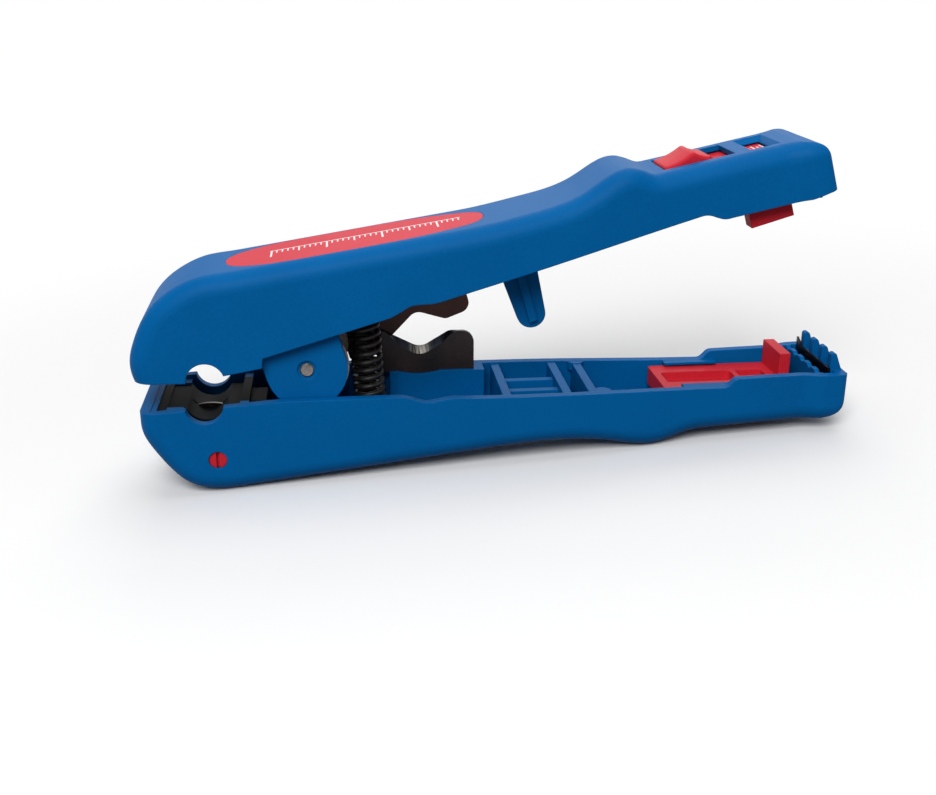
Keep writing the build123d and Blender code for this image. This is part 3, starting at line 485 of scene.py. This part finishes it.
def ground_blade(node, body, lean, corners, throat, ground_face, grind, material):
    """A plate blade through corners in millimetres, x and z from the pivot and a radius. Its
    throat, from one x in metres to another, is ground back by grind on one face."""
    to_scene = handle_frame(lean)
    low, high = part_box(node)
    outline = rounded_outline([tuple(size / 1000 for size in corner) for corner in corners])
    start_x, end_x = throat
    skin = bmesh.new()
    rings = []
    for face, y in (("near", low.y), ("far", high.y)):
        ring = []
        for x, z in outline:
            share = (x - start_x) / (end_x - start_x)
            swell = max(0.0, min(1.0, share / run_in_share, (1.0 - share) / run_in_share))
            depth = grind * swell if face == ground_face and abs(z) < throat_reach else 0.0
            ring.append(skin.verts.new(to_scene @ Vector((x, y, z + depth))))
        rings.append(ring)
    near_ring, far_ring = rings
    skin.faces.new(near_ring)
    skin.faces.new(far_ring[::-1])
    for index, (x, z) in enumerate(outline):
        following = (index + 1) % len(outline)
        band = skin.faces.new((near_ring[following], near_ring[index],
                               far_ring[index], far_ring[following]))
        band.material_index = int(start_x < x < end_x and abs(z) < throat_reach)
    bmesh.ops.recalc_face_normals(skin, faces=skin.faces)
    bmesh.ops.triangulate(skin, faces=[face for face in skin.faces if len(face.verts) > 4])
    place_piece(skin, node + "_ground", body, node, [material, ground])


throat_reach, run_in_share = 0.0045, 0.2
lower_brown = burnished("blade_black", (0.017, 0.017, 0.021), (0.052, 0.036, 0.033), 0.46)
lower_corners = [
    (13.9, 2.5, 0.3), (21.44, -1.41, 3.0), (27.0, 1.90, 2.2), (31.8, 1.90, 2.3),
    (31.8, -12.5, 0.0), (15.9, -12.5, 0.0), (15.9, -6.2, 0.0), (13.9, -5.8, 0.0)]
ground_blade("lower_cutter_blade", "lower", lower_lean, lower_corners, (0.0150, 0.0285),
             "near", -0.0015, lower_brown)
upper_brown = burnished("blade_brown", (0.020, 0.010, 0.010), (0.055, 0.022, 0.018), 0.50)
upper_corners = [
    (6.6, 12.0, 0.0), (6.6, -6.0, 0.8), (13.8, -5.6, 0.6), (15.3, -3.8, 0.6),
    (21.4, -0.30, 2.2), (26.5, -3.65, 1.6), (31.75, -3.25, 2.0), (31.75, 12.0, 0.0)]
ground_blade("upper_cutter_blade", "upper", upper_lean, upper_corners, (0.0165, 0.0260),
             "far", 0.0013, upper_brown)

# Spring
# A compression spring wound from black oiled wire, its end coils closed up and cut off, which
# stands in the tray behind the pivot and presses the handles apart.
coil_low, coil_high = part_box("handle_spring")
coil_middle = (coil_low + coil_high) / 2
coil_turns, steps_a_turn = 17, 28
coil_sizes = {
    "Turns": float(coil_turns),
    "Wire Radius": 0.00054,
    "Coil Radius": 0.00250,
    "Length": coil_high.z - coil_low.z,
    "Start Angle": radians(20.0),
}
oiled, shader, start = finish("spring_black", 0.44, metallic=0.3, specular=0.25)
place = start.node("ShaderNodeTexCoord", output="Object")
film = start.node("ShaderNodeTexNoise", {}, {"Vector": place, "Scale": 1100.0, "Detail": 2.0})
connect(shader, "Base Color", start.node(
    "ShaderNodeValToRGB",
    {"stops": ((0.30, (0.008, 0.008, 0.009)), (0.70, (0.026, 0.024, 0.023)))}, {"Fac": film}))
connect(shader, "Roughness", film * 0.25 + 0.32)
connect(shader, "Normal", start.node(
    "ShaderNodeBump", {}, {"Height": film, "Strength": 0.10, "Distance": 0.00003}))

winding = bpy.data.node_groups.new("winding", "GeometryNodeTree")
for name in coil_sizes:
    winding.interface.new_socket(name, in_out="INPUT", socket_type="NodeSocketFloat")
winding.interface.new_socket("Steps", in_out="INPUT", socket_type="NodeSocketInt")
winding.interface.new_socket("Black Wire", in_out="INPUT", socket_type="NodeSocketMaterial")
winding.interface.new_socket("Cut End", in_out="INPUT", socket_type="NodeSocketMaterial")
winding.interface.new_socket("Coil", in_out="OUTPUT", socket_type="NodeSocketGeometry")
given = winding.nodes.new("NodeGroupInput")
turns, wire_radius, coil_radius, length, start_angle, steps, black_wire, cut_end = (
    Wire(winding, given.outputs[name])
    for name in (*coil_sizes, "Steps", "Black Wire", "Cut End"))
rod = turns.node("GeometryNodeCurvePrimitiveLine")
rod = rod.node("GeometryNodeResampleCurve", {}, {"Curve": rod, "Count": steps})
turn = rod.node("GeometryNodeSplineParameter") * turns
closed_low = turn.maths("MINIMUM", turn, 1.0)
closed_high = turn.maths("MAXIMUM", turn - (turns - 1.0), 0.0)
open_turns = turn - closed_low - closed_high
pitch = (length - 6.0 * wire_radius) / (turns - 2.0)
rise = wire_radius + (closed_low + closed_high) * (2.0 * wire_radius) + open_turns * pitch
angle = turn * (2.0 * pi) + start_angle
winding_path = rod.node(
    "ShaderNodeCombineXYZ", {},
    {"X": coil_radius * angle.maths("COSINE", angle, 0.0),
     "Y": coil_radius * angle.maths("SINE", angle, 0.0), "Z": rise})
wound = rod.node("GeometryNodeSetPosition", {}, {"Geometry": rod, "Position": winding_path})
section = rod.node(
    "GeometryNodeCurvePrimitiveCircle", {}, {"Resolution": 12, "Radius": wire_radius})
solid = rod.node(
    "GeometryNodeCurveToMesh", {}, {"Curve": wound, "Profile Curve": section, "Fill Caps": True})
solid = rod.node("GeometryNodeRealizeInstances", {}, {"Geometry": solid})
solid = rod.node("GeometryNodeSetShadeSmooth", {}, {"Geometry": solid})
solid = rod.node("GeometryNodeSetMaterial", {}, {"Geometry": solid, "Material": black_wire})
wall_corners = 4.5
corners = rod.node("GeometryNodeInputMeshFaceNeighbors", output="Vertex Count")
solid = rod.node(
    "GeometryNodeSetMaterial", {},
    {"Geometry": solid, "Selection": corners > wall_corners, "Material": cut_end})
result = winding.nodes.new("NodeGroupOutput")
winding.links.new(solid.socket, result.inputs["Coil"])

bright, shader, start = finish("cut_steel", 0.30, metallic=1.0)
place = start.node("ShaderNodeTexCoord", output="Object")
sheared = start.node("ShaderNodeTexNoise", {}, {"Vector": place, "Scale": 2400.0, "Detail": 2.0})
connect(shader, "Base Color", start.node(
    "ShaderNodeValToRGB",
    {"stops": ((0.30, (0.55, 0.55, 0.56)), (0.70, (0.75, 0.75, 0.76)))}, {"Fac": sheared}))
connect(shader, "Roughness", sheared * 0.2 + 0.25)

winder = bpy.data.objects.new("winder", bpy.data.meshes.new("winder"))
bpy.context.scene.collection.objects.link(winder)
modifier = winder.modifiers.new("winding", "NODES")
modifier.node_group = winding
socket_ids = {item.name: item.identifier for item in winding.interface.items_tree
              if item.in_out == "INPUT"}
for name, value in (*coil_sizes.items(), ("Steps", coil_turns * steps_a_turn),
                    ("Black Wire", oiled), ("Cut End", bright)):
    modifier[socket_ids[name]] = value
bpy.context.view_layer.update()
coil_mesh = bpy.data.meshes.new_from_object(
    winder.evaluated_get(bpy.context.evaluated_depsgraph_get()))
bpy.data.objects.remove(winder)
coil_mesh.transform(Matrix.Translation((coil_middle.x, coil_middle.y, coil_low.z)))
coil = bpy.data.objects.new("wound_spring", coil_mesh)
bpy.context.scene.collection.objects.link(coil)
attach(coil, "lower")
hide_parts("handle_spring")
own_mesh(coil)

# Steel small parts
# Plated pin, washers, rivets, locating pins and screw, dulled by handling, and the dark rolled
# steel of the comb jaw's blades and of the jacket cutter.
steel, shader, start = finish("pin_steel", 0.35, metallic=1.0)
place = start.node("ShaderNodeTexCoord", output="Object")
turned = start.node("ShaderNodeTexNoise", {}, {"Vector": place, "Scale": 3800.0, "Detail": 3.0})
stain = start.node("ShaderNodeTexNoise", {}, {"Vector": place, "Scale": 700.0, "Detail": 2.0})
connect(shader, "Base Color", start.node(
    "ShaderNodeValToRGB",
    {"stops": ((0.30, (0.10, 0.085, 0.08)), (0.70, (0.26, 0.24, 0.23)))},
    {"Fac": turned * 0.6 + stain * 0.4}))
connect(shader, "Roughness", turned * 0.3 + 0.25)
connect(shader, "Normal", start.node(
    "ShaderNodeBump", {}, {"Height": turned, "Strength": 0.25, "Distance": 0.00004}))
for node in ("pivot_pin", "pivot_washers", "lower_blade_pins", "upper_blade_rivets",
             "jacket_blade_screw"):
    dress(node, steel)

plain, shader, start = finish("blade_steel", 0.32, metallic=1.0)
place = start.node("ShaderNodeTexCoord", output="Object")
rolling = start.node("ShaderNodeMapping", {}, {"Vector": place, "Scale": (900.0, 250.0, 4000.0)})
rolled = start.node("ShaderNodeTexNoise", {}, {"Vector": rolling, "Scale": 1.0, "Detail": 2.0})
connect(shader, "Base Color", start.node(
    "ShaderNodeValToRGB",
    {"stops": ((0.35, (0.012, 0.013, 0.016)), (0.75, (0.06, 0.042, 0.030)))}, {"Fac": rolled}))
connect(shader, "Roughness", rolled * 0.25 + 0.22)
for node in ("jacket_blade", "lower_wire_blade", "upper_wire_blade"):
    dress(node, plain)
